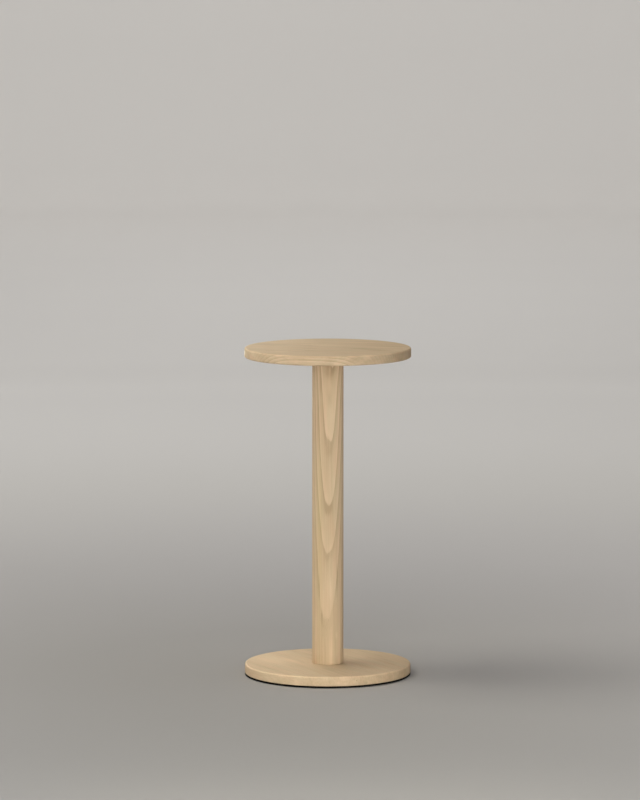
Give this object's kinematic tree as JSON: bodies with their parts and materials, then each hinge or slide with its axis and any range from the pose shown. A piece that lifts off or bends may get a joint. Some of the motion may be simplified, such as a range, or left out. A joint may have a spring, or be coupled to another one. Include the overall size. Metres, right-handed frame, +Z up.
{
  "type": "wine table",
  "caption": "Small round pedestal wine table: a flat oak disc top on a straight round oak column, with a matching oak disc base on a thin black steel plate.",
  "frame": {"origin": "centre of the footprint on the floor, on the column's axis", "axes": "+Z up along the column, -Y towards the front of the table, +X to the right seen from the front"},
  "size_m": [0.305, 0.305, 0.606],
  "materials": {
    "oak_top": "natural matte lacquer, grain left to right",
    "oak_post": "natural matte lacquer, grain along the column",
    "oak_base": "natural matte lacquer, grain front to back",
    "beech_dowel": "bare turned beech",
    "zinc_plated_steel": "bright zinc plate",
    "spring_steel": "zinc plate, darker",
    "black_powder_coat": "fine satin black powder coat",
    "black_screw_steel": "black oxide",
    "black_rubber": "matte die-cut rubber"
  },
  "bodies": {
    "root": {"table_top": "oak_top", "top_mounting_plate": "zinc_plated_steel", "mounting_plate_screws": "zinc_plated_steel", "top_dowels": "beech_dowel", "post": "oak_post", "tie_rod": "zinc_plated_steel", "base_dowels": "beech_dowel", "base_disc": "oak_base", "flat_washer": "zinc_plated_steel", "spring_washer": "spring_steel", "hex_nut": "zinc_plated_steel", "ballast_plate": "black_powder_coat", "ballast_plate_screws": "black_screw_steel", "floor_pads": "black_rubber"}
  },
  "joints": []
}
